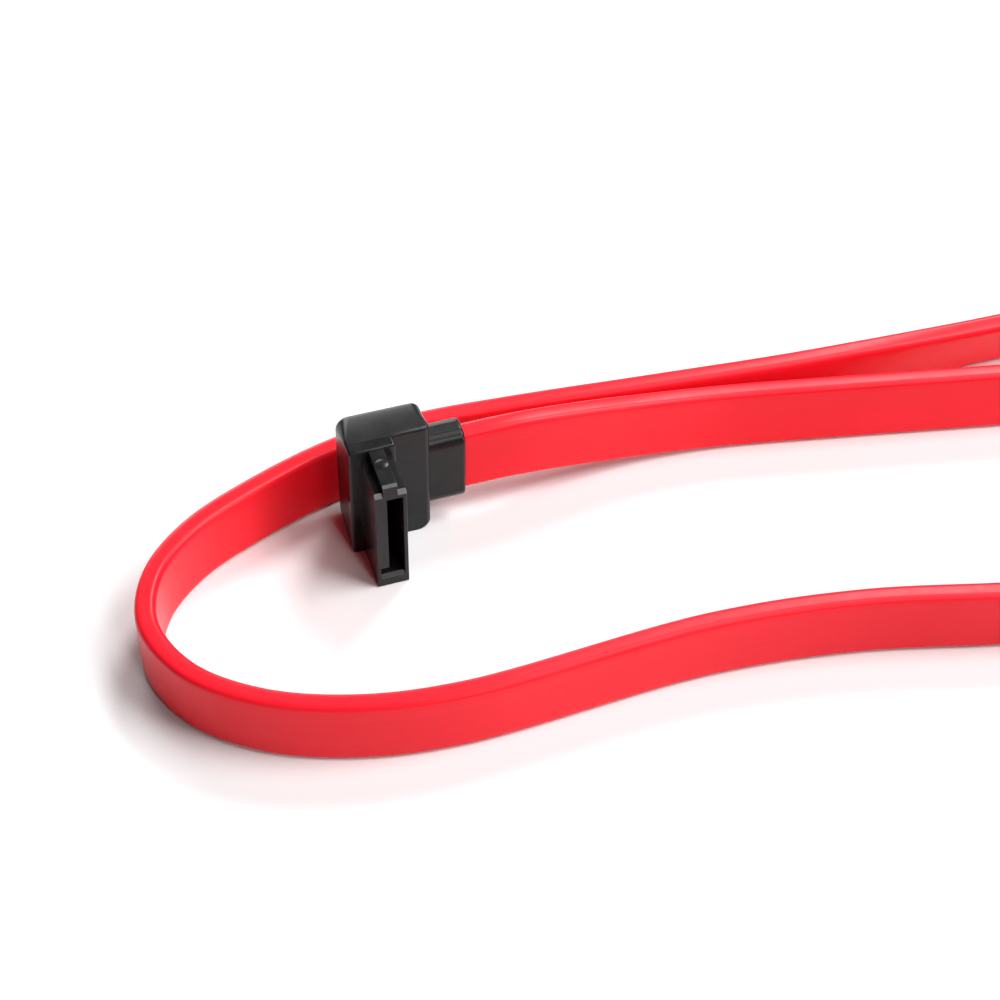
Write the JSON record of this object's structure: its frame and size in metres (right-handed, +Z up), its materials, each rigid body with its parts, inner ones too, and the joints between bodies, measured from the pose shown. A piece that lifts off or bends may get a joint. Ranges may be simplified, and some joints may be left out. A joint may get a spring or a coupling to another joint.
{
  "type": "flat serial data cable",
  "caption": "Flat red data cable standing on its edge, with a black right-angle plug with an L-shaped slot at each end.",
  "frame": {"origin": "middle of plug A's footprint, on the surface it stands on", "axes": "+X the way the cable leaves plug A, -Y the way plug A's nose points, +Z up"},
  "size_m": [0.1424, 0.0627, 0.0145],
  "materials": {
    "hard_black_plastic": "moulded, satin",
    "soft_black_plastic": "moulded, fine texture",
    "gold_plating": "plated",
    "wire_insulation": "extruded",
    "tinned_copper": "tinned",
    "red_jacket": "extruded, soft sheen"
  },
  "bodies": {
    "root": {"plug_a_insulator": "hard_black_plastic", "plug_a_overmould": "soft_black_plastic", "plug_a_contact_1": "gold_plating", "plug_a_contact_2": "gold_plating", "plug_a_contact_3": "gold_plating", "plug_a_contact_4": "gold_plating", "plug_a_contact_5": "gold_plating", "plug_a_contact_6": "gold_plating", "plug_a_contact_7": "gold_plating", "plug_a_wire_1": "tinned_copper", "plug_a_wire_2": "wire_insulation", "plug_a_wire_3": "wire_insulation", "plug_a_wire_4": "tinned_copper", "plug_a_wire_5": "wire_insulation", "plug_a_wire_6": "wire_insulation", "plug_a_wire_7": "tinned_copper", "plug_b_insulator": "hard_black_plastic", "plug_b_overmould": "soft_black_plastic", "plug_b_contact_1": "gold_plating", "plug_b_contact_2": "gold_plating", "plug_b_contact_3": "gold_plating", "plug_b_contact_4": "gold_plating", "plug_b_contact_5": "gold_plating", "plug_b_contact_6": "gold_plating", "plug_b_contact_7": "gold_plating", "plug_b_wire_1": "tinned_copper", "plug_b_wire_2": "wire_insulation", "plug_b_wire_3": "wire_insulation", "plug_b_wire_4": "tinned_copper", "plug_b_wire_5": "wire_insulation", "plug_b_wire_6": "wire_insulation", "plug_b_wire_7": "tinned_copper", "cable_jacket": "red_jacket"}
  },
  "joints": []
}
